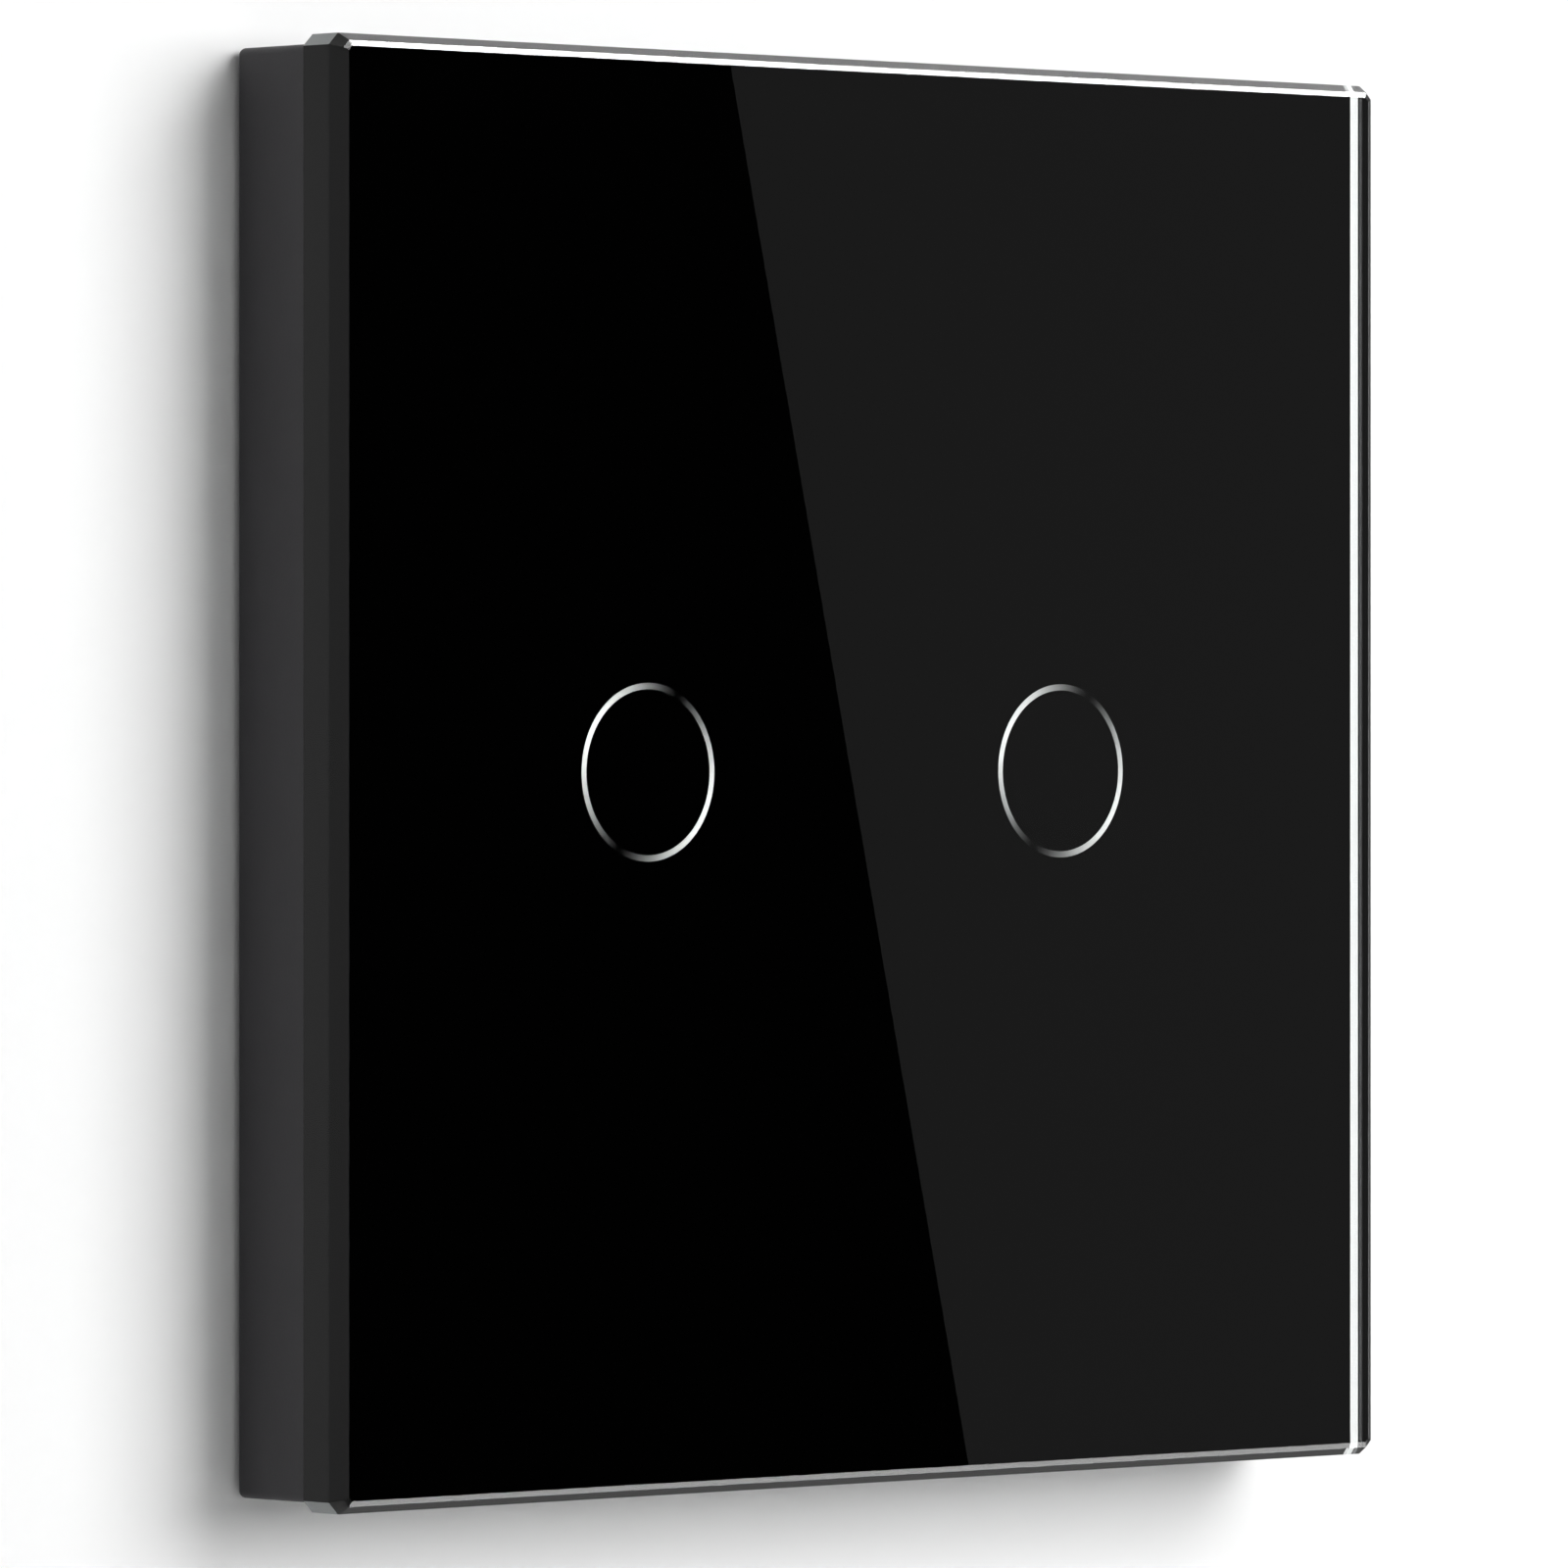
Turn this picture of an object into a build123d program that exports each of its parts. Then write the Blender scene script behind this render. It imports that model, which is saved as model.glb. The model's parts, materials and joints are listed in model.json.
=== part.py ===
from build123d import *
import os
from math import cos, hypot, radians, sin, sqrt

os.makedirs("parts", exist_ok=True)

# A two-gang glass touch switch for a round wall box.
# The origin is the centre of the wall plane, +X to the right seen from the room, +Z up, +Y into the wall.
# Heights are counted from the wall: positive towards the room (-Y), negative into the wall box (+Y).

# Clearances
slide_gap = 0.1
turn_gap = 0.05
board_gap = 0.2
panel_gap = 0.15
overrun = 1.0

# Glass panel
glass_overhang = 0.5
glass_thickness = 3.2
glass_corner = 0.65
bevel_width = 0.48
bevel_depth = 0.83
arris_width = 0.25
arris_length = 0.12
seam_chamfer = 0.25
bond_gap = 0.02
mask_thickness = 0.1
mask_margin = 0.5
mask_corner = 0.4

# Metal rings behind the glass that mark the two touch areas, each in a gap of the black print
ring_spacing = 31.8
ring_radius = 4.95
ring_width = 0.35
ring_gap = 0.02

# Moulded frame that carries the glass
frame_corner = 0.4
frame_wall = 1.6
frame_room = 2.4
frame_edge = 0.35
frame_wall_gap = 0.25
web_thickness = 1.2
window_width = 26.0
window_height = 40.0
window_corner = 3.0
tongue_width = 8.0
tongue_thickness = 1.2
tongue_spacing = 40.0
pry_width = 12.0
pry_depth = 1.0

# Steel mounting plate
plate_corner = 3.0
plate_thickness = 1.0
plate_opening_gap = 0.25
plate_rim = 2.25
box_screw_offset = 6.0
slot_length = 6.5
slot_radius = 1.75
screw_head_room = 4.0

# Front tray of the base housing
tray_inset = 1.5
tray_corner = 2.0
tray_wall = 1.0
tray_floor = 1.0
notch_width = 10.6
boss_radius = 2.7
boss_bite = 0.4

# Rear box of the base housing
box_shoulder = 0.76
box_wall = 1.4
box_floor = 1.5
box_edge = 0.8
board_ledge = 1.2

# Front cover and its screws
cover_thickness = 1.0
cover_gap = 0.1
screw_radius = 1.2
cross_length = 2.4
cross_width = 0.5
cross_depth = 0.6

# Touch board and what it carries
touch_board_thickness = 1.6
touch_board_corner = 1.5
pad_inset = 0.2
pad_bore = 2.2
pad_hole_gap = 0.3
led_length = 1.6
led_width = 0.8
led_height = 0.6
guide_gap = 0.15
controller_side = 6.0
controller_height = 0.9
controller_place = -5.0
passive_length = 1.6
passive_width = 0.8
passive_height = 0.6
passive_pitch_x = 6.0
passive_pitch_z = 4.0
passive_place = 8.0

# Pin header between the two boards
pin_count = 6
pin_pitch = 2.54
pin_side = 0.64
pin_tail = 1.4
pin_engagement = 2.5
header_width = 2.5
header_gap = 2.3
strip_height = 2.5
socket_height = 5.0
socket_depth = 4.0

# Power board
power_board_thickness = 1.6
power_board_margin = 2.7

# Relays
relay_gap = 1.4
relay_headroom = 1.5
relay_place = 8.0
relay_standoff = 0.2
relay_side_room = 2.35
relay_top_room = 1.0
case_wall = 0.7
case_corner = 0.8
case_edge = 0.4
relay_base_thickness = 1.2
yoke_width = 6.0
yoke_thickness = 1.0
yoke_room = 0.8
foot_setback = 0.3
core_radius = 1.6
pole_radius = 2.6
pole_thickness = 0.6
pole_gap = 0.35
bobbin_radius = 4.7
bobbin_rim = 0.5
bobbin_flange = 0.6
bobbin_height = 8.2
bobbin_lift = 0.2
bobbin_gap = 0.5
relay_pin_radius = 0.35
relay_pin_tail = 2.8
relay_pin_gap = 0.1
armature_gap = 0.5
armature_thickness = 0.8
armature_overhang = 0.8
armature_swing = 3.2
leaf_thickness = 0.2
leaf_width = 3.0
leaf_setback = 4.0
leaf_rim = 0.2
contact_radius = 1.0
contact_height = 1.0
contact_room = 2.3
contact_setback = 1.0
fixed_contact_height = 0.3
fixed_contact_gap = 0.04
fixed_strip_thickness = 0.6
fixed_strip_width = 3.0
fixed_strip_room = 0.6

# Terminal blocks with rising cages
terminal_pitch = 7.62
terminal_names = ("load_1", "live", "neutral", "load_2")
block_gap = 0.2
block_length = 10.4
block_inset = 0.4
block_floor = 0.7
wire_wall = 1.2
wire_hole_radius = 1.3
wire_room = 2.0
cage_wall = 0.7
cage_top = 1.0
cage_length = 5.2
cage_room = 0.2
bar_width = 2.8
bar_thickness = 0.8
bar_pin_width = 1.0
bar_pin_tail = 2.0
clamp_screw_radius = 1.5
clamp_head_radius = 2.0
clamp_head_height = 1.6
clamp_slot_width = 0.6
clamp_slot_depth = 0.8
clamp_rim = 0.7
driver_hole_radius = 1.7

# Parts of the mains supply on the power board
electrolytic_radius = 4.0
electrolytic_height = 12.0
electrolytic_edge = 0.5
film_length = 13.0
film_width = 6.0
film_height = 11.0
film_edge = 0.6
core_length = 10.0
core_width = 5.0
core_height = 9.6
core_leg = 1.6
core_centre_leg = 2.8
coil_bulge = 1.5
coil_gap = 0.1
varistor_radius = 3.75
varistor_thickness = 3.6
varistor_edge = 0.8
varistor_foot = 5.0
fuse_length = 8.3
fuse_width = 4.0
fuse_height = 7.5
fuse_edge = 0.4
inductor_radius = 3.0
inductor_waist = 2.2
inductor_flange = 1.0
inductor_height = 7.0
output_radius = 3.15
output_height = 9.0
output_edge = 0.4
rectifier_length = 8.0
rectifier_width = 6.4
rectifier_height = 3.2
rectifier_edge = 0.3
regulator_length = 6.5
regulator_width = 6.1
regulator_height = 2.3
regulator_edge = 0.2
supply_row = -6.0
output_row = -18.0
converter_row = -4.0

# How much a 45 degree corner cut shortens for each unit that its square is drawn in
corner_cut_share = 2 - sqrt(2)

# Relay sizes that follow from what the case holds
core_reach = yoke_thickness + bobbin_gap + bobbin_radius
relay_inside = yoke_room + core_reach + bobbin_radius + contact_room + 2 * contact_radius
relay_length = relay_inside + contact_setback + fixed_strip_room + 2 * case_wall
relay_width = 2 * (bobbin_radius + relay_side_room + case_wall)
pole_base = relay_standoff + relay_base_thickness + turn_gap + yoke_thickness + bobbin_lift
pole_height = pole_base + bobbin_height + pole_gap + pole_thickness
yoke_height = pole_height + armature_gap - slide_gap
armature_top = pole_height + armature_gap + armature_thickness
relay_height = armature_top + leaf_thickness + relay_top_room + case_wall

# Places inside a relay, from the relay's own centre
yoke_back = case_wall + yoke_room - relay_length / 2
core_place = yoke_back + core_reach
fixed_strip_back = relay_length / 2 - case_wall - fixed_strip_room
contact_place = fixed_strip_back - contact_setback - contact_radius
fixed_strip_front = contact_place - contact_radius
winding_radius = bobbin_radius - bobbin_rim
yoke_foot = yoke_thickness + bobbin_gap + 2 * bobbin_radius - foot_setback
armature_length = yoke_foot + armature_overhang
leaf_start = yoke_back + leaf_setback
leaf_end = contact_place + contact_radius + leaf_rim

# Sizes that follow from one piece to the next, outwards from the two relays to the glass
terminal_row = len(terminal_names) * terminal_pitch
relay_spacing = relay_length + relay_gap
power_board_side = relay_spacing + relay_length + 2 * power_board_margin
box_side = power_board_side + 2 * (board_gap + box_wall)
box_corner = (box_side - terminal_row) / 2 - box_shoulder
box_screw_spacing = box_side + 2 * box_screw_offset
plate_side = box_screw_spacing + slot_length + 2 * plate_rim
tray_side = plate_side - 2 * tray_inset
frame_side = plate_side + 2 * (frame_room + frame_wall)
glass_side = frame_side + 2 * glass_overhang
mask_side = glass_side - 2 * mask_margin

# Sizes of small pieces that follow from what they hold or fit
screw_head_radius = screw_radius + cover_thickness
pad_radius = ring_radius - pad_inset
pin_hole_radius = hypot(pin_side, pin_side) / 2 + turn_gap
bar_hole_radius = hypot(bar_pin_width, bar_thickness) / 2 + slide_gap
cage_width = bar_width + 2 * (cage_wall + cage_room)
cage_travel = wire_room - 2 * turn_gap
coil_length = core_length - 2 * (core_leg + coil_gap)
coil_width = core_width + 2 * coil_bulge
header_place = relay_place + (relay_width + header_width) / 2 + header_gap

# Heights of the layers, from the wall towards the room
plate_front = plate_thickness
floor_front = plate_front + tray_floor
touch_board_front = floor_front + touch_board_thickness
cover_rear = touch_board_front + cover_gap
cover_front = cover_rear + cover_thickness
web_rear = cover_front + panel_gap
web_front = web_rear + web_thickness
mask_front = web_front + mask_thickness
glass_rear = mask_front + bond_gap
pad_front = web_front - panel_gap

# Heights of the layers inside the terminal blocks, going into the wall box
power_front = floor_front - relay_headroom - relay_height
power_rear = power_front - power_board_thickness
cage_front = power_rear - block_floor - slide_gap
wire_centre = cage_front - cage_wall - wire_room / 2
bar_front = cage_front - cage_wall - wire_room
bar_rear = bar_front - bar_thickness
window_rear = bar_rear - slide_gap
cage_rear = window_rear - cage_top
cavity_rear = cage_rear - cage_travel - turn_gap
head_front = cavity_rear - turn_gap
head_rear = head_front - clamp_head_height
head_bore_rear = head_rear - slide_gap
box_rear = head_bore_rear - clamp_rim

# Places across the wall
ring_places = [(-ring_spacing / 2, 0), (ring_spacing / 2, 0)]
notch_reach = box_screw_spacing / 2 - screw_head_room
boss_place = tray_side / 2 - tray_wall - boss_radius + boss_bite
boss_spacing = 2 * boss_place
touch_board_side = 2 * (notch_reach - tray_wall - board_gap)
header_length = pin_count * pin_pitch
block_bottom = -(box_side / 2 - block_inset)
block_top = block_bottom + block_length
block_middle = (block_bottom + block_top) / 2
cavity_bottom = block_bottom + wire_wall
cavity_length = cage_length + 2 * cage_room
cavity_middle = cavity_bottom + cavity_length / 2
bar_leg_middle = block_top + board_gap + bar_thickness / 2
relay_places = {"left": -relay_spacing / 2, "right": relay_spacing / 2}


def terminal_x(number):
    """Where a terminal stands in the row."""
    return (number + 1 / 2) * terminal_pitch - terminal_row / 2


def level(height):
    """The plane parallel to the wall at this height, facing the room."""
    return Plane.XZ.offset(height)


def row_places(lengths, row_length, height):
    """Centres of pieces that share a row, with equal gaps between them and at its ends."""
    gap = (row_length - sum(lengths)) / (len(lengths) + 1)
    places = []
    start = gap - row_length / 2
    for length in lengths:
        places.append((start + length / 2, height))
        start += length + gap
    return places


def chamfered_square(side, corner):
    """A square with its corners cut at 45 degrees."""
    half = side / 2
    flat = half - corner
    Polygon(
        (flat, half),
        (half, flat),
        (half, -flat),
        (flat, -half),
        (-flat, -half),
        (-half, -flat),
        (-half, flat),
        (-flat, half),
        align=None,
    )


def box_outline(inset):
    """The rear box's outline, drawn in by an even inset."""
    chamfered_square(box_side - 2 * inset, box_corner - inset * corner_cut_share)


def tray_outline(inset):
    """The tray's outline: a square with a notch at each side for the box screws."""
    half = tray_side / 2 - inset
    reach = notch_reach - inset
    depth = half - reach
    RectangleRounded(2 * half, 2 * half, tray_corner - inset)
    with PolarLocations((half + reach) / 2, 4):
        Rectangle(depth, notch_width + 2 * inset, mode=Mode.SUBTRACT)


# Glass panel: corners cut flat, a steep bevel all round, and a narrow polished arris inside it
with BuildPart() as glass_panel:
    with BuildSketch(level(glass_rear)):
        chamfered_square(glass_side, glass_corner)
    extrude(amount=glass_thickness)
    chamfer(glass_panel.faces().sort_by(Axis.Y)[-1].edges(), seam_chamfer)
    front_face = glass_panel.faces().sort_by(Axis.Y)[0]
    chamfer(front_face.edges(), bevel_width, bevel_depth, reference=front_face)
    front_face = glass_panel.faces().sort_by(Axis.Y)[0]
    chamfer(front_face.edges(), arris_width, arris_length, reference=front_face)
glass_panel.part.label = "glass_panel"
export_step(glass_panel.part, "parts/glass_panel.step")

# Black print behind the glass and its clear bond, with a gap for each ring and a disc inside it
with BuildPart() as print_mask:
    with BuildSketch(level(web_front)):
        RectangleRounded(mask_side, mask_side, mask_corner)
        with Locations(*ring_places):
            Circle(ring_radius + ring_gap, mode=Mode.SUBTRACT)
            Circle(ring_radius - ring_width - ring_gap)
    extrude(amount=mask_thickness)
print_mask.part.label = "print_mask"
export_step(print_mask.part, "parts/print_mask.step")

# Metal rings behind the glass, in the gaps of the print
for side, place in zip(("left", "right"), ring_places):
    with BuildPart() as touch_ring:
        with BuildSketch(level(web_front)):
            with Locations(place):
                Circle(ring_radius)
                Circle(ring_radius - ring_width, mode=Mode.SUBTRACT)
        extrude(amount=mask_thickness)
    touch_ring.part.label = f"touch_ring_{side}"
    export_step(touch_ring.part, f"parts/touch_ring_{side}.step")

# Frame under the glass: rim, web with two windows, and tongues that grip the base
with BuildPart() as panel_frame:
    with BuildSketch(level(frame_wall_gap)):
        RectangleRounded(frame_side, frame_side, frame_corner)
    extrude(amount=web_front - frame_wall_gap)
    fillet(panel_frame.faces().sort_by(Axis.Y)[-1].edges(), frame_edge)
    with BuildSketch(level(frame_wall_gap)):
        cavity_side = frame_side - 2 * frame_wall
        RectangleRounded(cavity_side, cavity_side, frame_corner)
    extrude(amount=web_rear - frame_wall_gap, mode=Mode.SUBTRACT)
    with BuildSketch(level(web_rear)):
        with Locations(*ring_places):
            RectangleRounded(window_width, window_height, window_corner)
    extrude(amount=web_thickness, mode=Mode.SUBTRACT)
    tongue_place = tray_side / 2 + panel_gap + tongue_thickness / 2
    with BuildSketch(level(web_rear)):
        with PolarLocations(tongue_place, 4):
            with Locations((0, -tongue_spacing / 2), (0, tongue_spacing / 2)):
                Rectangle(tongue_thickness, tongue_width)
    extrude(amount=-(web_rear - plate_front - board_gap))
    with BuildSketch(level(frame_wall_gap)):
        with Locations((0, -(frame_side - frame_wall) / 2)):
            Rectangle(pry_width, frame_wall + overrun)
    extrude(amount=pry_depth, mode=Mode.SUBTRACT)
panel_frame.part.label = "panel_frame"
export_step(panel_frame.part, "parts/panel_frame.step")

# Steel plate with a slot for a box screw at each side
with BuildPart() as mounting_plate:
    with BuildSketch(level(0)):
        RectangleRounded(plate_side, plate_side, plate_corner)
        with PolarLocations(box_screw_spacing / 2, 4):
            SlotOverall(slot_length, 2 * slot_radius, mode=Mode.SUBTRACT)
        with GridLocations(boss_spacing, boss_spacing, 2, 2):
            Circle(screw_radius + turn_gap, mode=Mode.SUBTRACT)
    extrude(amount=plate_thickness)
    with BuildSketch(level(0)):
        box_outline(-plate_opening_gap)
    extrude(amount=plate_thickness, mode=Mode.SUBTRACT)
mounting_plate.part.label = "mounting_plate"
export_step(mounting_plate.part, "parts/mounting_plate.step")

# Base housing: the front tray, the rear box and the bay for the terminal blocks
with BuildPart() as base_housing:
    with BuildSketch(level(plate_front)):
        tray_outline(0)
    extrude(amount=cover_rear - plate_front)
    with BuildSketch(level(plate_front)):
        box_outline(0)
    extrude(amount=box_rear - plate_front)
    fillet(base_housing.faces().sort_by(Axis.Y)[-1].edges(), box_edge)
    with BuildSketch(level(floor_front)):
        tray_outline(tray_wall)
    extrude(amount=cover_rear - floor_front, mode=Mode.SUBTRACT)
    with BuildSketch(level(floor_front)):
        with GridLocations(boss_spacing, boss_spacing, 2, 2):
            Circle(boss_radius)
    extrude(amount=cover_rear - floor_front)
    with BuildSketch(level(plate_front)):
        with GridLocations(boss_spacing, boss_spacing, 2, 2):
            Circle(screw_radius + turn_gap)
    extrude(amount=cover_rear - plate_front, mode=Mode.SUBTRACT)
    with BuildSketch(level(floor_front)):
        box_outline(box_wall)
    extrude(amount=power_rear - floor_front, mode=Mode.SUBTRACT)
    with BuildSketch(level(power_rear)):
        box_outline(box_wall + board_ledge)
    extrude(amount=box_rear + box_floor - power_rear, mode=Mode.SUBTRACT)
    bay_top = block_top + slide_gap
    bay_bottom = -box_side / 2 - overrun
    with BuildSketch(level(power_rear)):
        with Locations((0, (bay_top + bay_bottom) / 2)):
            Rectangle(terminal_row + block_gap, bay_top - bay_bottom)
    extrude(amount=box_rear - power_rear, mode=Mode.SUBTRACT)
base_housing.part.label = "base_housing"
export_step(base_housing.part, "parts/base_housing.step")

# Flat cover over the tray
with BuildPart() as front_cover:
    with BuildSketch(level(cover_rear)):
        tray_outline(0)
        with Locations(*ring_places):
            Circle(pad_radius + pad_hole_gap, mode=Mode.SUBTRACT)
    extrude(amount=cover_thickness)
    with Locations(level(cover_front)):
        with GridLocations(boss_spacing, boss_spacing, 2, 2):
            CounterSinkHole(screw_radius + turn_gap, screw_head_radius + turn_gap, counter_sink_angle=90)
front_cover.part.label = "front_cover"
export_step(front_cover.part, "parts/front_cover.step")

# Countersunk screws that hold the cover and the housing to the plate
with BuildPart() as housing_screws:
    screw_top = cover_front - turn_gap
    head_depth = screw_head_radius - screw_radius
    with BuildSketch(level(turn_gap)):
        with GridLocations(boss_spacing, boss_spacing, 2, 2):
            Circle(screw_radius)
    extrude(amount=screw_top - turn_gap)
    with Locations(level(screw_top - head_depth / 2)):
        with GridLocations(boss_spacing, boss_spacing, 2, 2):
            Cone(screw_radius, screw_head_radius, head_depth)
    with BuildSketch(level(screw_top)):
        with GridLocations(boss_spacing, boss_spacing, 2, 2):
            Rectangle(cross_length, cross_width)
            Rectangle(cross_width, cross_length)
    extrude(amount=-cross_depth, mode=Mode.SUBTRACT)
housing_screws.part.label = "housing_screws"
export_step(housing_screws.part, "parts/housing_screws.step")

# Touch board
with BuildPart() as touch_board:
    with BuildSketch(level(floor_front)):
        RectangleRounded(touch_board_side, touch_board_side, touch_board_corner)
    extrude(amount=touch_board_thickness)
touch_board.part.label = "touch_board"
export_step(touch_board.part, "parts/touch_board.step")

# Sensor pads and light guides behind the two touch areas
for side, place in zip(("left", "right"), ring_places):
    with BuildPart() as sensor_pad:
        with BuildSketch(level(touch_board_front)):
            with Locations(place):
                Circle(pad_radius)
                Circle(pad_bore, mode=Mode.SUBTRACT)
        extrude(amount=pad_front - touch_board_front)
    sensor_pad.part.label = f"sensor_pad_{side}"
    export_step(sensor_pad.part, f"parts/sensor_pad_{side}.step")

    with BuildPart() as light_guide:
        guide_rear = touch_board_front + led_height + guide_gap
        with BuildSketch(level(guide_rear)):
            with Locations(place):
                Circle(pad_bore - slide_gap)
        extrude(amount=pad_front - guide_rear)
    light_guide.part.label = f"light_guide_{side}"
    export_step(light_guide.part, f"parts/light_guide_{side}.step")

# Status lights, one behind each guide
with BuildPart() as status_leds:
    with BuildSketch(level(touch_board_front)):
        with Locations(*ring_places):
            Rectangle(led_length, led_width)
    extrude(amount=led_height)
status_leds.part.label = "status_leds"
export_step(status_leds.part, "parts/status_leds.step")

# Touch controller chip on the back of its board
with BuildPart() as touch_controller:
    with BuildSketch(level(floor_front)):
        with Locations((0, controller_place)):
            Rectangle(controller_side, controller_side)
    extrude(amount=-controller_height)
touch_controller.part.label = "touch_controller"
export_step(touch_controller.part, "parts/touch_controller.step")

# Chip resistors and capacitors beside the controller
with BuildPart() as touch_passives:
    with BuildSketch(level(floor_front)):
        with Locations((0, passive_place)):
            with GridLocations(passive_pitch_x, passive_pitch_z, 4, 3):
                Rectangle(passive_length, passive_width)
    extrude(amount=-passive_height)
touch_passives.part.label = "touch_passives"
export_step(touch_passives.part, "parts/touch_passives.step")

# Socket on the touch board
with BuildPart() as header_socket:
    with BuildSketch(level(floor_front)):
        with Locations((0, header_place)):
            Rectangle(header_length, header_width)
    extrude(amount=-socket_height)
    with BuildSketch(level(floor_front - socket_height)):
        with Locations((0, header_place)):
            with GridLocations(pin_pitch, 0, pin_count, 1):
                Rectangle(pin_side + 2 * slide_gap, pin_side + 2 * slide_gap)
    extrude(amount=socket_depth, mode=Mode.SUBTRACT)
header_socket.part.label = "header_socket"
export_step(header_socket.part, "parts/header_socket.step")

# Plastic strip that holds the pins on the power board
with BuildPart() as header_strip:
    with BuildSketch(level(power_front)):
        with Locations((0, header_place)):
            Rectangle(header_length, header_width)
            with GridLocations(pin_pitch, 0, pin_count, 1):
                Rectangle(pin_side + 2 * turn_gap, pin_side + 2 * turn_gap, mode=Mode.SUBTRACT)
    extrude(amount=strip_height)
header_strip.part.label = "header_strip"
export_step(header_strip.part, "parts/header_strip.step")

# Pins from the power board to the touch board
with BuildPart() as header_pins:
    pin_front = floor_front - socket_height + pin_engagement
    pin_rear = power_rear - pin_tail
    with BuildSketch(level(pin_rear)):
        with Locations((0, header_place)):
            with GridLocations(pin_pitch, 0, pin_count, 1):
                Rectangle(pin_side, pin_side)
    extrude(amount=pin_front - pin_rear)
header_pins.part.label = "header_pins"
export_step(header_pins.part, "parts/header_pins.step")

# Where the pins of each relay stand, from the relay's own centre
yoke_pin = (yoke_back + yoke_thickness / 2, 0)
fixed_pin = (fixed_strip_back - fixed_strip_thickness / 2, 0)
coil_pins = [(core_place, -winding_radius), (core_place, winding_radius)]
relay_pins = [yoke_pin, fixed_pin] + coil_pins

# Power board, with holes for every pin that goes through it
with BuildPart() as power_board:
    with BuildSketch(level(power_rear)):
        box_outline(box_wall + board_gap)
        with Locations((0, header_place)):
            with GridLocations(pin_pitch, 0, pin_count, 1):
                Circle(pin_hole_radius, mode=Mode.SUBTRACT)
        with Locations((0, bar_leg_middle)):
            with GridLocations(terminal_pitch, 0, len(terminal_names), 1):
                Circle(bar_hole_radius, mode=Mode.SUBTRACT)
        with Locations(*[(x, relay_place) for x in relay_places.values()]):
            with Locations(*relay_pins):
                Circle(relay_pin_radius + relay_pin_gap, mode=Mode.SUBTRACT)
    extrude(amount=power_board_thickness)
power_board.part.label = "power_board"
export_step(power_board.part, "parts/power_board.step")

# Heights inside a relay, from the power board
base_front = power_front + relay_standoff + relay_base_thickness
foot_rear = base_front + turn_gap
foot_front = foot_rear + yoke_thickness
yoke_front = power_front + yoke_height
pole_front = power_front + pole_height
armature_rear = pole_front + armature_gap
armature_front = armature_rear + armature_thickness
bobbin_rear = foot_front + bobbin_lift
contact_rear = armature_front - contact_height
pin_tip = power_front - relay_pin_tail

# The moving contact's lowest point at full swing sets the fixed contact's height
hinge_x = yoke_back + yoke_thickness / 2
swing_reach = contact_place + contact_radius - hinge_x
swing_drop = swing_reach * sin(radians(armature_swing))
swing_offset = (armature_rear - contact_rear) * cos(radians(armature_swing))
fixed_front = armature_rear - swing_offset - swing_drop - fixed_contact_gap
strip_front = fixed_front - fixed_contact_height

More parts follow.
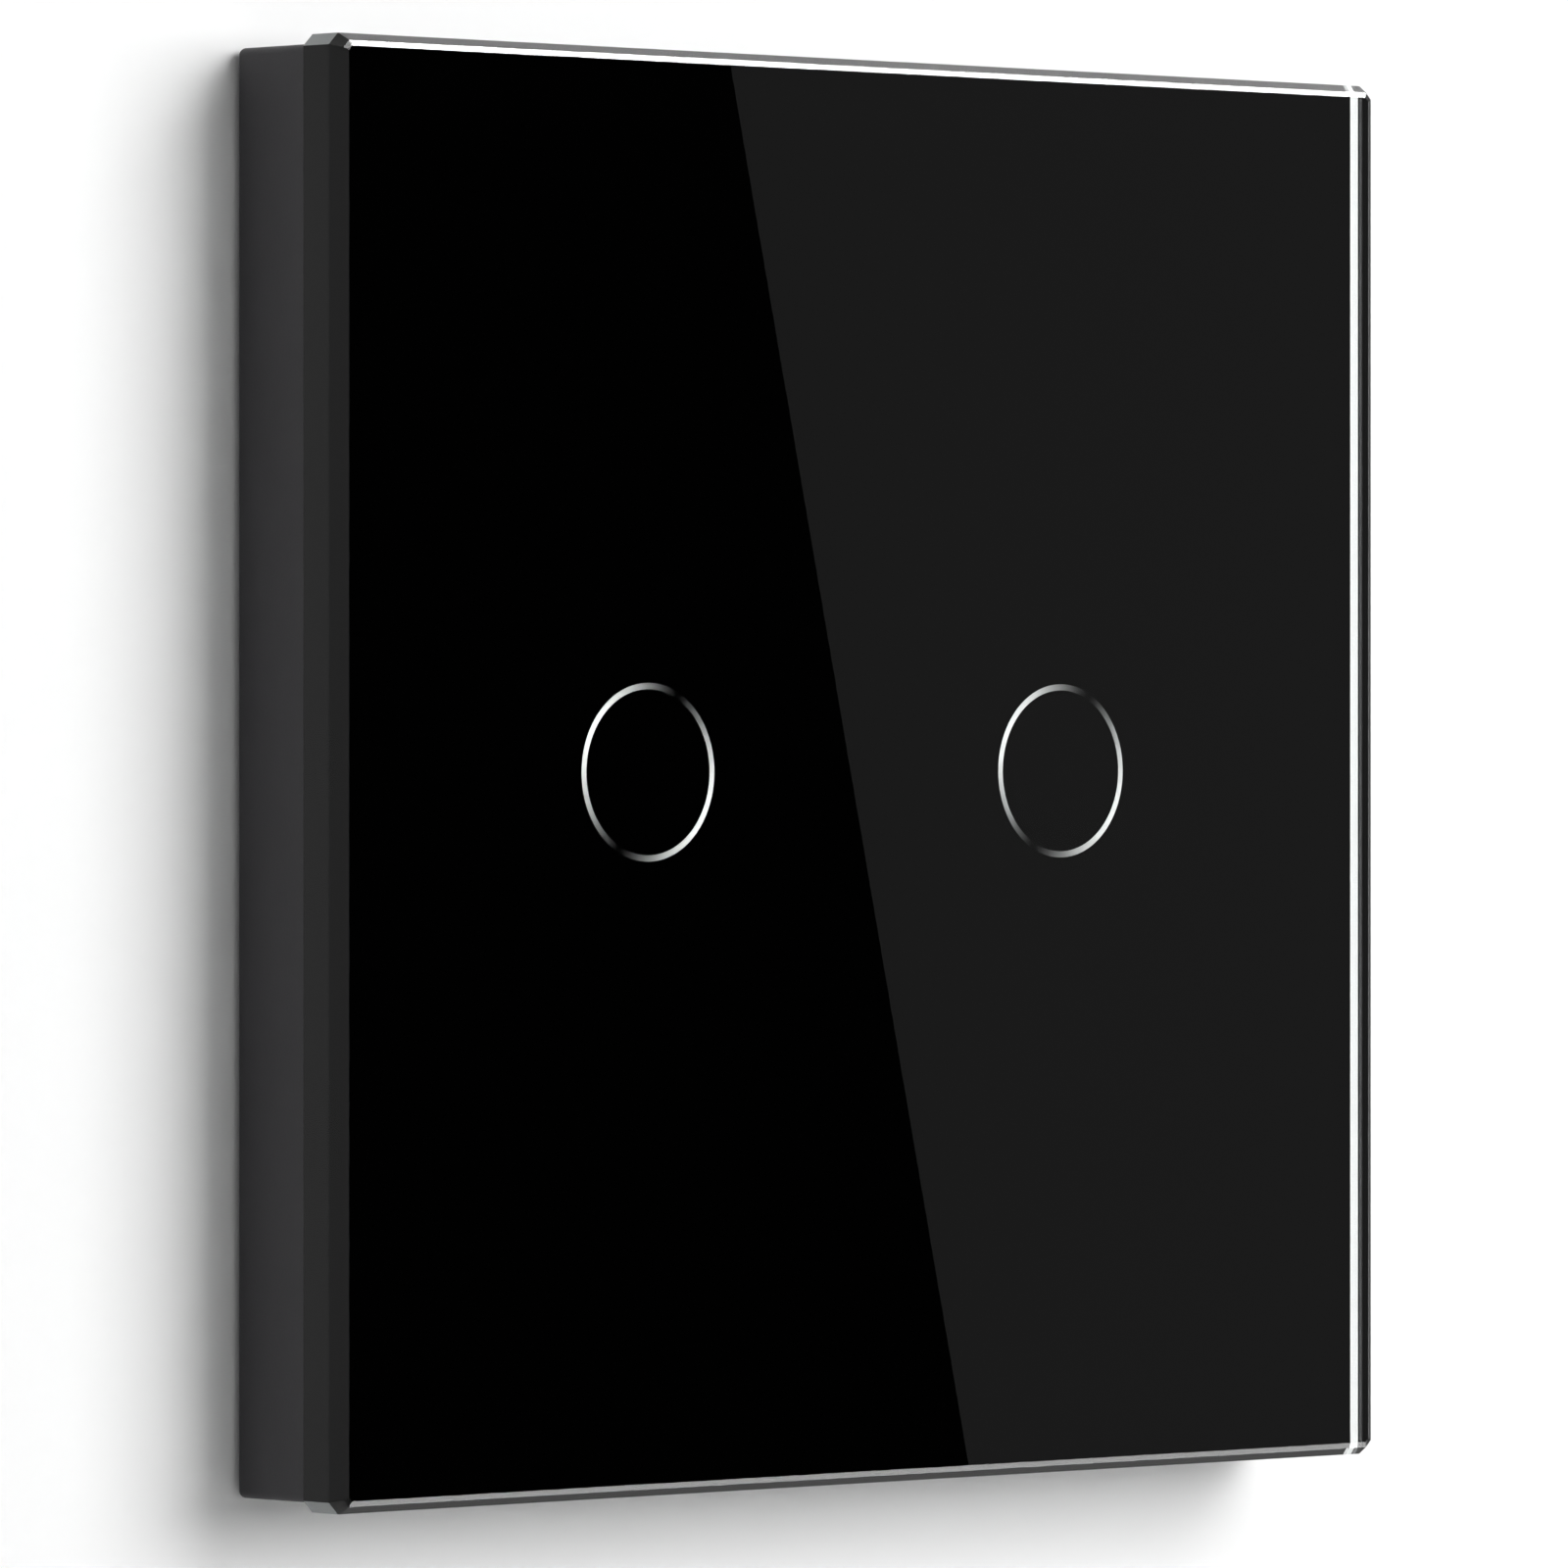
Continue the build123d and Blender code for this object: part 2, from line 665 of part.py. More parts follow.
for side, relay_x in relay_places.items():
    relay_centre = (relay_x, relay_place)

    # Moulded base
    with BuildPart() as relay_base:
        with BuildSketch(level(power_front + relay_standoff)):
            with Locations(relay_centre):
                base_length = relay_length - 2 * (case_wall + slide_gap)
                base_width = relay_width - 2 * (case_wall + slide_gap)
                Rectangle(base_length, base_width)
                with Locations(*relay_pins):
                    Circle(relay_pin_radius + relay_pin_gap, mode=Mode.SUBTRACT)
        extrude(amount=relay_base_thickness)
    relay_base.part.label = f"relay_{side}_base"
    export_step(relay_base.part, f"parts/relay_{side}_base.step")

    # Case, open towards the board
    with BuildPart() as relay_case:
        with BuildSketch(level(power_front)):
            with Locations(relay_centre):
                RectangleRounded(relay_length, relay_width, case_corner)
        extrude(amount=relay_height)
        fillet(relay_case.faces().sort_by(Axis.Y)[0].edges(), case_edge)
        with BuildSketch(level(power_front)):
            with Locations(relay_centre):
                Rectangle(relay_length - 2 * case_wall, relay_width - 2 * case_wall)
        extrude(amount=relay_height - case_wall, mode=Mode.SUBTRACT)
    relay_case.part.label = f"relay_{side}_case"
    export_step(relay_case.part, f"parts/relay_{side}_case.step")

    # Yoke with the coil's iron core and its pole face
    with BuildPart() as relay_yoke:
        with BuildSketch(level(foot_rear)):
            with Locations((relay_x + yoke_back + yoke_foot / 2, relay_place)):
                Rectangle(yoke_foot, yoke_width)
        extrude(amount=yoke_thickness)
        with BuildSketch(level(foot_rear)):
            with Locations((relay_x + hinge_x, relay_place)):
                Rectangle(yoke_thickness, yoke_width)
        extrude(amount=yoke_front - foot_rear)
        with BuildSketch(level(foot_front)):
            with Locations((relay_x + core_place, relay_place)):
                Circle(core_radius)
        extrude(amount=pole_front - foot_front)
        with BuildSketch(level(pole_front)):
            with Locations((relay_x + core_place, relay_place)):
                Circle(pole_radius)
        extrude(amount=-pole_thickness)
        with BuildSketch(level(foot_rear)):
            with Locations((relay_x + yoke_pin[0], relay_place + yoke_pin[1])):
                Circle(relay_pin_radius)
        extrude(amount=pin_tip - foot_rear)
    relay_yoke.part.label = f"relay_{side}_yoke"
    export_step(relay_yoke.part, f"parts/relay_{side}_yoke.step")

    # Coil: two bobbin flanges with the winding between them, and two pins
    with BuildPart() as relay_coil:
        with BuildSketch(level(bobbin_rear)):
            with Locations((relay_x + core_place, relay_place)):
                Circle(winding_radius)
        extrude(amount=bobbin_height)
        for flange_rear in (bobbin_rear, bobbin_rear + bobbin_height - bobbin_flange):
            with BuildSketch(level(flange_rear)):
                with Locations((relay_x + core_place, relay_place)):
                    Circle(bobbin_radius)
            extrude(amount=bobbin_flange)
        with BuildSketch(level(bobbin_rear)):
            with Locations((relay_x + core_place, relay_place)):
                Circle(core_radius + slide_gap)
        extrude(amount=bobbin_height, mode=Mode.SUBTRACT)
        with BuildSketch(level(bobbin_rear)):
            with Locations(relay_centre):
                with Locations(*coil_pins):
                    Circle(relay_pin_radius)
        extrude(amount=pin_tip - bobbin_rear)
    relay_coil.part.label = f"relay_{side}_coil"
    export_step(relay_coil.part, f"parts/relay_{side}_coil.step")

    # Armature, which swings on the yoke's edge
    with BuildPart() as relay_armature:
        with BuildSketch(level(armature_rear)):
            with Locations((relay_x + yoke_back + armature_length / 2, relay_place)):
                Rectangle(armature_length, yoke_width)
        extrude(amount=armature_thickness)
    relay_armature.part.label = f"relay_{side}_armature"
    export_step(relay_armature.part, f"parts/relay_{side}_armature.step")

    # Leaf on the armature, with the moving contact
    with BuildPart() as relay_leaf:
        with BuildSketch(level(armature_front)):
            with Locations((relay_x + (leaf_start + leaf_end) / 2, relay_place)):
                Rectangle(leaf_end - leaf_start, leaf_width)
        extrude(amount=leaf_thickness)
        with BuildSketch(level(armature_front)):
            with Locations((relay_x + contact_place, relay_place)):
                Circle(contact_radius)
        extrude(amount=-contact_height)
    relay_leaf.part.label = f"relay_{side}_contact_leaf"
    export_step(relay_leaf.part, f"parts/relay_{side}_contact_leaf.step")

    # Fixed contact on its strip
    with BuildPart() as fixed_contact:
        with BuildSketch(level(base_front)):
            with Locations((relay_x + fixed_pin[0], relay_place)):
                Rectangle(fixed_strip_thickness, fixed_strip_width)
        extrude(amount=strip_front - base_front)
        with BuildSketch(level(strip_front)):
            with Locations((relay_x + (fixed_strip_front + fixed_strip_back) / 2, relay_place)):
                Rectangle(fixed_strip_back - fixed_strip_front, fixed_strip_width)
        extrude(amount=-fixed_strip_thickness)
        with BuildSketch(level(strip_front)):
            with Locations((relay_x + contact_place, relay_place)):
                Circle(contact_radius)
        extrude(amount=fixed_contact_height)
        with BuildSketch(level(base_front)):
            with Locations((relay_x + fixed_pin[0], relay_place)):
                Circle(relay_pin_radius)
        extrude(amount=pin_tip - base_front)
    fixed_contact.part.label = f"relay_{side}_fixed_contact"
    export_step(fixed_contact.part, f"parts/relay_{side}_fixed_contact.step")

# Two rows of parts in front of the power board, and one behind it
supply_lengths = [2 * electrolytic_radius, film_length, core_length, varistor_thickness]
supply_places = row_places(supply_lengths, power_board_side, supply_row)
electrolytic_place, film_place, transformer_place, varistor_place = supply_places
output_lengths = [fuse_length, 2 * inductor_radius, 2 * output_radius]
output_places = row_places(output_lengths, terminal_row, output_row)
fuse_place, inductor_place, output_place = output_places
converter_lengths = [rectifier_length, regulator_length]
rectifier_place, regulator_place = row_places(converter_lengths, terminal_row, converter_row)

# Smoothing capacitor, a can with rounded ends
with BuildPart() as electrolytic_capacitor:
    with BuildSketch(level(power_front)):
        with Locations(electrolytic_place):
            Circle(electrolytic_radius)
    extrude(amount=electrolytic_height)
    fillet(electrolytic_capacitor.faces().sort_by(Axis.Y)[0].edges(), electrolytic_edge)
electrolytic_capacitor.part.label = "electrolytic_capacitor"
export_step(electrolytic_capacitor.part, "parts/electrolytic_capacitor.step")

# Mains film capacitor
with BuildPart() as film_capacitor:
    with BuildSketch(level(power_front)):
        with Locations(film_place):
            Rectangle(film_length, film_width)
    extrude(amount=film_height)
    fillet(film_capacitor.edges().filter_by(Axis.Y), film_edge)
    fillet(film_capacitor.faces().sort_by(Axis.Y)[0].edges(), film_edge / 2)
film_capacitor.part.label = "film_capacitor"
export_step(film_capacitor.part, "parts/film_capacitor.step")

# Transformer core: a ferrite block with a window on each side of its centre leg
core_window = (core_length - 2 * core_leg - core_centre_leg) / 2
core_window_place = (core_window + core_centre_leg) / 2
with BuildPart() as transformer_core:
    with BuildSketch(level(power_front)):
        with Locations(transformer_place):
            Rectangle(core_length, core_width)
    extrude(amount=core_height)
    with BuildSketch(level(power_front + core_leg)):
        with Locations(transformer_place):
            with Locations((-core_window_place, 0), (core_window_place, 0)):
                Rectangle(core_window, core_width + 2 * overrun)
    extrude(amount=core_height - 2 * core_leg, mode=Mode.SUBTRACT)
transformer_core.part.label = "transformer_core"
export_step(transformer_core.part, "parts/transformer_core.step")

# Transformer winding round the centre leg
with BuildPart() as transformer_winding:
    with BuildSketch(level(power_front + core_leg + coil_gap)):
        with Locations(transformer_place):
            RectangleRounded(coil_length, coil_width, core_leg / 2)
            Rectangle(core_centre_leg + 2 * coil_gap, core_width + 2 * coil_gap, mode=Mode.SUBTRACT)
    extrude(amount=core_height - 2 * (core_leg + coil_gap))
transformer_winding.part.label = "transformer_winding"
export_step(transformer_winding.part, "parts/transformer_winding.step")

# Surge varistor, a disc standing on edge
with BuildPart() as varistor:
    with BuildSketch(Plane.YZ.offset(varistor_place[0] - varistor_thickness / 2)):
        with Locations((-(power_front + varistor_radius), varistor_place[1])):
            Circle(varistor_radius)
    extrude(amount=varistor_thickness)
    fillet(varistor.edges().filter_by(GeomType.CIRCLE), varistor_edge)
    with BuildSketch(level(power_front)):
        with Locations(varistor_place):
            Rectangle(varistor_thickness - 2 * varistor_edge, varistor_foot)
    extrude(amount=varistor_radius)
varistor.part.label = "varistor"
export_step(varistor.part, "parts/varistor.step")

# Fuse in a small box
with BuildPart() as fuse:
    with BuildSketch(level(power_front)):
        with Locations(fuse_place):
            Rectangle(fuse_length, fuse_width)
    extrude(amount=fuse_height)
    fillet(fuse.edges().filter_by(Axis.Y), fuse_edge)
fuse.part.label = "fuse"
export_step(fuse.part, "parts/fuse.step")

# Filter inductor, a drum with a waist
with BuildPart() as inductor:
    with BuildSketch(level(power_front)):
        with Locations(inductor_place):
            Circle(inductor_waist)
    extrude(amount=inductor_height)
    for flange_rear in (power_front, power_front + inductor_height - inductor_flange):
        with BuildSketch(level(flange_rear)):
            with Locations(inductor_place):
                Circle(inductor_radius)
        extrude(amount=inductor_flange)
inductor.part.label = "inductor"
export_step(inductor.part, "parts/inductor.step")

# Output capacitor
with BuildPart() as output_capacitor:
    with BuildSketch(level(power_front)):
        with Locations(output_place):
            Circle(output_radius)
    extrude(amount=output_height)
    fillet(output_capacitor.faces().sort_by(Axis.Y)[0].edges(), output_edge)
output_capacitor.part.label = "output_capacitor"
export_step(output_capacitor.part, "parts/output_capacitor.step")

# Bridge rectifier on the back of the power board
with BuildPart() as rectifier:
    with BuildSketch(level(power_rear)):
        with Locations(rectifier_place):
            Rectangle(rectifier_length, rectifier_width)
    extrude(amount=-rectifier_height)
    chamfer(rectifier.faces().sort_by(Axis.Y)[-1].edges(), rectifier_edge)
rectifier.part.label = "rectifier"
export_step(rectifier.part, "parts/rectifier.step")

# Voltage regulator beside it
with BuildPart() as regulator:
    with BuildSketch(level(power_rear)):
        with Locations(regulator_place):
            Rectangle(regulator_length, regulator_width)
    extrude(amount=-regulator_height)
    chamfer(regulator.faces().sort_by(Axis.Y)[-1].edges(), regulator_edge)
regulator.part.label = "regulator"
export_step(regulator.part, "parts/regulator.step")

# Terminal blocks: one insulating block for each wire, each with a cage chamber
with BuildPart() as terminal_blocks:
    with BuildSketch(level(power_rear)):
        with Locations((0, block_middle)):
            with GridLocations(terminal_pitch, 0, len(terminal_names), 1):
                Rectangle(terminal_pitch - block_gap, block_length)
    extrude(amount=box_rear - power_rear)
    with BuildSketch(level(power_rear - block_floor)):
        with Locations((0, cavity_middle)):
            with GridLocations(terminal_pitch, 0, len(terminal_names), 1):
                Rectangle(cage_width + 2 * cage_room, cavity_length)
    extrude(amount=cavity_rear - power_rear + block_floor, mode=Mode.SUBTRACT)
    with BuildSketch(level(cavity_rear)):
        with Locations((0, cavity_middle)):
            with GridLocations(terminal_pitch, 0, len(terminal_names), 1):
                Circle(clamp_head_radius + turn_gap)
    extrude(amount=head_bore_rear - cavity_rear, mode=Mode.SUBTRACT)
    with BuildSketch(level(head_bore_rear)):
        with Locations((0, cavity_middle)):
            with GridLocations(terminal_pitch, 0, len(terminal_names), 1):
                Circle(driver_hole_radius)
    extrude(amount=box_rear - head_bore_rear, mode=Mode.SUBTRACT)
    with BuildSketch(level(bar_front + turn_gap)):
        with Locations((0, (cavity_middle + block_top) / 2)):
            with GridLocations(terminal_pitch, 0, len(terminal_names), 1):
                Rectangle(bar_width + 2 * turn_gap, block_top - cavity_middle)
    extrude(amount=-(bar_thickness + 2 * turn_gap), mode=Mode.SUBTRACT)
    with BuildSketch(Plane.XY.offset(block_bottom)):
        with Locations((0, -wire_centre)):
            with GridLocations(terminal_pitch, 0, len(terminal_names), 1):
                Circle(wire_hole_radius)
    extrude(amount=wire_wall, mode=Mode.SUBTRACT)
terminal_blocks.part.label = "terminal_blocks"
export_step(terminal_blocks.part, "parts/terminal_blocks.step")

# Contact bars from the cages to the power board
bar_bottom = cavity_bottom + cage_room
bar_top = bar_leg_middle + bar_thickness / 2
with BuildPart() as contact_bars:
    with BuildSketch(level(bar_front)):
        with Locations((0, (bar_bottom + bar_top) / 2)):
            with GridLocations(terminal_pitch, 0, len(terminal_names), 1):
                Rectangle(bar_width, bar_top - bar_bottom)
    extrude(amount=-bar_thickness)
    with BuildSketch(level(power_rear)):
        with Locations((0, bar_leg_middle)):
            with GridLocations(terminal_pitch, 0, len(terminal_names), 1):
                Rectangle(bar_width, bar_thickness)
    extrude(amount=bar_rear - power_rear)
    with BuildSketch(level(power_rear)):
        with Locations((0, bar_leg_middle)):
            with GridLocations(terminal_pitch, 0, len(terminal_names), 1):
                Rectangle(bar_pin_width, bar_thickness)
    extrude(amount=bar_pin_tail)
contact_bars.part.label = "contact_bars"
export_step(contact_bars.part, "parts/contact_bars.step")

# A cage and a clamp screw for each terminal
for number, name in enumerate(terminal_names):
    terminal_centre = (terminal_x(number), cavity_middle)

    with BuildPart() as clamp_cage:
        with BuildSketch(level(cage_front)):
            with Locations(terminal_centre):
                Rectangle(cage_width, cage_length)
        extrude(amount=cage_rear - cage_front)
        with BuildSketch(level(cage_front - cage_wall)):
            with Locations(terminal_centre):
                Rectangle(cage_width - 2 * cage_wall, cage_length + 2 * overrun)
        extrude(amount=window_rear - cage_front + cage_wall, mode=Mode.SUBTRACT)
        with BuildSketch(level(window_rear)):
            with Locations(terminal_centre):
                Circle(clamp_screw_radius + turn_gap)
        extrude(amount=-cage_top, mode=Mode.SUBTRACT)
    clamp_cage.part.label = f"clamp_cage_{name}"
    export_step(clamp_cage.part, f"parts/clamp_cage_{name}.step")

    with BuildPart() as clamp_screw:
        with BuildSketch(level(bar_rear - turn_gap)):
            with Locations(terminal_centre):
                Circle(clamp_screw_radius)
        extrude(amount=head_rear - bar_rear + turn_gap)
        with BuildSketch(level(head_front)):
            with Locations(terminal_centre):
                Circle(clamp_head_radius)
        extrude(amount=-clamp_head_height)
        with BuildSketch(level(head_rear)):
            with Locations(terminal_centre):
                Rectangle(2 * clamp_head_radius + 2 * overrun, clamp_slot_width)
        extrude(amount=clamp_slot_depth, mode=Mode.SUBTRACT)
    clamp_screw.part.label = f"clamp_screw_{name}"
    export_step(clamp_screw.part, f"parts/clamp_screw_{name}.step")
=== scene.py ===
import json
from math import cos, hypot, pi, radians, sin

import bpy
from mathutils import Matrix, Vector


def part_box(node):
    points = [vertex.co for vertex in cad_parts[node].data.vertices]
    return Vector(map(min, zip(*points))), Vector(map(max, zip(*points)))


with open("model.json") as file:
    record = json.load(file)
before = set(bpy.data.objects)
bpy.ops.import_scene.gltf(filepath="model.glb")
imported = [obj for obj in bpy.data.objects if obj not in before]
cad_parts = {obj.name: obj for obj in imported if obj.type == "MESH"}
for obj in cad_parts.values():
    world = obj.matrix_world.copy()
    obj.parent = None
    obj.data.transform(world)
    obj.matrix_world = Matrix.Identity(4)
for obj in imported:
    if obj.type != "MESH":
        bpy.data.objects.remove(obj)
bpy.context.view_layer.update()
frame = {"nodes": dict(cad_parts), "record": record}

# A two-gang glass touch switch on a white wall, lit softly from the upper right.
# Metres, in the part's own frame: +X to the right seen from the room, +Z up, +Y into the wall.

mm = 0.001
nodes = frame["nodes"]
glass_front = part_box("glass_panel")[0].y
glass_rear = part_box("glass_panel")[1].y
print_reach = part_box("print_mask")[1].x
plate_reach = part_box("mounting_plate")[1].x

# The rings, as the frame has them
ring_low, ring_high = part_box("touch_ring_right")
ring_offset = (ring_low.x + ring_high.x) / 2
ring_outer = (ring_high.x - ring_low.x) / 2
ring_corners = [vertex.co for vertex in nodes["touch_ring_right"].data.vertices]
ring_inner = min(hypot(corner.x - ring_offset, corner.z) for corner in ring_corners)

# The direction of the rings' painted highlight, and the colours at the bright and the dark end of their
# painted sheen: highlight and shade painted into the rings' colour in two opposite bright sectors and two
# dark ones
painted_highlight_angle = radians(153)
painted_ring_highlight = (0.48, 0.48, 0.48)
painted_ring_shade = (0.012, 0.012, 0.012)
ink_color = (0.0004, 0.0004, 0.0004)

# How strong the finer grains of a noise are
noise_roughness = 0.55

# How far a face may lie from the glass's back, and its normal from a cut corner's, to count as one
back_slack = 0.01 * mm
cut_slack = 0.1

# Camera: level with the switch, to its left
photo_side = 1600
focal_pixels = 12093
sensor_width = 36.0
camera_distance = 0.6659
camera_height = 0.0025
camera_azimuth = radians(-43.29)
camera_turn = radians(0.46)
centre_row = 742.0

# Light levels: how bright a white surface gets from each lamp and from all round, and what gloss sees
ambient_level = 0.22
gloss_level = 0.42
key_level = 1.12
rear_level = 0.9
screen_level = 0.206
top_glow = 22.0
bottom_glow = 5.5

# Lamps: azimuth and elevation in degrees, then distance and side in metres
key_place = (26, 20, 0.9, 0.7)
rear_place = (150, 40, 1.1, 0.6)
top_edge_place = (52, 30.5, 0.955, 0.42)
bottom_edge_place = (52, -30.5, 0.955, 0.42)

# Wall and floor. The wall is open where the mounting plate covers it, so that light from behind reaches
# the back, and the plate overlaps the opening's rim.
wall_reach = 0.7
wall_place = 0.05 * mm
plate_overlap = 1 * mm
opening_reach = plate_reach - plate_overlap
floor_reach = 2.0
floor_level = -0.7
square_corners = ((-1, -1), (1, -1), (1, 1), (-1, 1))

# Cards on the wall, mirrored by the glass's left side and its lower bevel: their left and right ends,
# their lower and upper ends, and how bright they glow
side_card = (-100 * mm, -42 * mm, -43 * mm, 60 * mm, 0.43)
low_card = (-100 * mm, 120 * mm, -90 * mm, -43 * mm, 0.33)

# Screens, mirrored by the face of the glass: how far they stand from the camera along its mirrored view,
# how many pixels they reach past the photo, and where the edge between them crosses its top and bottom rows
screen_distance = 1.285
screen_reach = 1600
screen_edge_top = 734.0
screen_edge_bottom = 1006.3


def direction(azimuth, elevation):
    """Unit vector towards a lamp or camera: azimuth 0 stands in front, positive to the right."""
    flat = cos(elevation)
    return Vector((sin(azimuth) * flat, -cos(azimuth) * flat, sin(elevation)))


def add_object(name, data):
    """Links new object data into the scene."""
    thing = bpy.data.objects.new(name, data)
    bpy.context.scene.collection.objects.link(thing)
    return thing


# Material building blocks

def set_value(node, name, value):
    """Sets one plain value on a node's own socket."""
    node.inputs[name].default_value = value


def new_material(name, color, roughness, metallic=0.0, specular=0.5):
    """A material with one Principled shader, and that shader."""
    material = bpy.data.materials.new(name)
    material.use_nodes = True
    shader = material.node_tree.nodes["Principled BSDF"]
    set_value(shader, "Base Color", (*color, 1))
    set_value(shader, "Roughness", roughness)
    set_value(shader, "Metallic", metallic)
    set_value(shader, "Specular IOR Level", specular)
    return material, shader


def drive(material, shader, name, socket):
    """Feeds a shader's socket from a texture."""
    material.node_tree.links.new(socket, shader.inputs[name])


def coordinates(material):
    """Coordinates that stay with the piece."""
    return material.node_tree.nodes.new("ShaderNodeTexCoord").outputs["Object"]


def stretched(material, scale):
    """The same coordinates, squeezed or stretched along each axis."""
    node = material.node_tree.nodes.new("ShaderNodeMapping")
    set_value(node, "Scale", scale)
    material.node_tree.links.new(coordinates(material), node.inputs["Vector"])
    return node.outputs["Vector"]


def separated(tree, vector):
    """The X, Y and Z of a vector."""
    node = tree.nodes.new("ShaderNodeSeparateXYZ")
    tree.links.new(vector, node.inputs["Vector"])
    return node.outputs["X"], node.outputs["Y"], node.outputs["Z"]


def noise(material, size, detail=3.0, vector=None):
    """Noise from 0 to 1 with grains of about this size."""
    node = material.node_tree.nodes.new("ShaderNodeTexNoise")
    set_value(node, "Scale", 1 / size)
    set_value(node, "Detail", detail)
    set_value(node, "Roughness", noise_roughness)
    material.node_tree.links.new(vector or coordinates(material), node.inputs["Vector"])
    return node.outputs["Fac"]


def cells(material, size, metric="EUCLIDEAN"):
    """Cells of about this size: the distance to the nearest centre."""
    node = material.node_tree.nodes.new("ShaderNodeTexVoronoi")
    node.distance = metric
    set_value(node, "Scale", 1 / size)
    material.node_tree.links.new(coordinates(material), node.inputs["Vector"])
    return node.outputs["Distance"]


def spread(material, value, low, high, start=0.3, end=0.7):
    """Maps a value between start and end to a range, and holds it there."""
    node = material.node_tree.nodes.new("ShaderNodeMapRange")
    set_value(node, "From Min", start)
    set_value(node, "From Max", end)
    set_value(node, "To Min", low)
    set_value(node, "To Max", high)
    material.node_tree.links.new(value, node.inputs["Value"])
    return node.outputs["Result"]


def blend_colors(material, share, first, second):
    """Mixes two colours by a share from 0 to 1."""
    node = material.node_tree.nodes.new("ShaderNodeMix")
    node.data_type = "RGBA"
    color_inputs = [socket for socket in node.inputs if socket.type == "RGBA"]
    color_inputs[0].default_value = (*first, 1)
    color_inputs[1].default_value = (*second, 1)
    material.node_tree.links.new(share, node.inputs["Factor"])
    return [socket for socket in node.outputs if socket.type == "RGBA"][0]


def mix_shaders(tree, share, first, second):
    """Shows the first shader at share 0 and the second at share 1."""
    node = tree.nodes.new("ShaderNodeMixShader")
    tree.links.new(share, node.inputs["Fac"])
    tree.links.new(first.outputs["BSDF"], node.inputs[1])
    tree.links.new(second.outputs["BSDF"], node.inputs[2])
    tree.links.new(node.outputs["Shader"], tree.nodes["Material Output"].inputs["Surface"])


def arithmetic(tree, operation, *values):
    """One step of arithmetic on numbers or sockets."""
    node = tree.nodes.new("ShaderNodeMath")
    node.operation = operation
    for number, value in enumerate(values):
        if isinstance(value, (int, float)):
            node.inputs[number].default_value = value
        else:
            tree.links.new(value, node.inputs[number])
    return node.outputs["Value"]


def bump(material, shader, height, depth, strength=1.0):
    """Raises the surface by a texture, by this depth in metres."""
    node = material.node_tree.nodes.new("ShaderNodeBump")
    set_value(node, "Strength", strength)
    set_value(node, "Distance", depth)
    material.node_tree.links.new(height, node.inputs["Height"])
    drive(material, shader, "Normal", node.outputs["Normal"])


def tinted(color, share):
    """A colour made lighter or darker by this share."""
    return [min(1.0, channel * share) for channel in color]


# Glass, print and rings

def dress_as_glass(shader):
    """Clear toughened glass, faintly green."""
    set_value(shader, "Base Color", (0.94, 0.97, 0.96, 1))
    set_value(shader, "Roughness", 0.0)
    set_value(shader, "Transmission Weight", 1.0)
    set_value(shader, "IOR", 1.5)


def clear_glass():
    """Clear glass with polished edges."""
    material, shader = new_material("clear_glass", (1, 1, 1), 0.0)
    dress_as_glass(shader)
    return material


def ground_glass():
    """Glass ground matt, where the panel's corners are cut."""
    material, shader = new_material("ground_glass", (0.27, 0.285, 0.285), 0.55)
    grains = noise(material, 0.05 * mm, detail=4.0)
    drive(material, shader, "Roughness", spread(material, grains, 0.5, 0.65))
    bump(material, shader, grains, 0.004 * mm)
    return material


def black_ink():
    """Black ink on the back of the glass, which shines back nothing."""
    material, shader = new_material("black_print", ink_color, 1.0, specular=0.0)
    patches = noise(material, 4 * mm)
    drive(material, shader, "Roughness", spread(material, patches, 0.9, 1.0))
    return material


def ring_places(material):
    """How far a point lies from the nearer ring's centre, and that ring's painted sheen from 0 to 1: a
    highlight painted in two opposite sectors round its centre, with painted shade between them.
    """
    tree = material.node_tree
    x, _, z = separated(tree, coordinates(material))
    beside = arithmetic(tree, "SUBTRACT", arithmetic(tree, "ABSOLUTE", x), ring_offset)
    across = arithmetic(tree, "MULTIPLY", beside, arithmetic(tree, "SIGN", x))
    across_squared = arithmetic(tree, "MULTIPLY", across, across)
    up_squared = arithmetic(tree, "MULTIPLY", z, z)
    distance_squared = arithmetic(tree, "ADD", across_squared, up_squared)
    # The double angle round the ring, turned to the painted highlight's direction
    cosine = arithmetic(tree, "SUBTRACT", across_squared, up_squared)
    sine = arithmetic(tree, "MULTIPLY", arithmetic(tree, "MULTIPLY", across, z), 2.0)
    cosine_part = arithmetic(tree, "MULTIPLY", cosine, cos(2 * painted_highlight_angle))
    sine_part = arithmetic(tree, "MULTIPLY", sine, sin(2 * painted_highlight_angle))
    wave = arithmetic(tree, "DIVIDE", arithmetic(tree, "ADD", cosine_part, sine_part), distance_squared)
    painted_sheen = spread(material, wave, 0.0, 1.0, start=-1.0, end=1.0)
    return arithmetic(tree, "SQRT", distance_squared), painted_sheen


def ring_metal():
    """Bright metal turned on a lathe, with a painted sheen round its own centre: bright and dark sectors
    painted into its colour, standing in for the lamps' reflection in its fine rings.
    """
    material, shader = new_material("ring_metal", painted_ring_highlight, 0.32, metallic=1.0)
    _, painted_sheen = ring_places(material)
    # The colour carries a painted highlight and painted shade in opposite sectors round the ring
    drive(material, shader, "Base Color", blend_colors(material, painted_sheen, painted_ring_shade, painted_ring_highlight))
    patches = noise(material, 0.6 * mm)
    drive(material, shader, "Roughness", spread(material, patches, 0.28, 0.36))
    return material


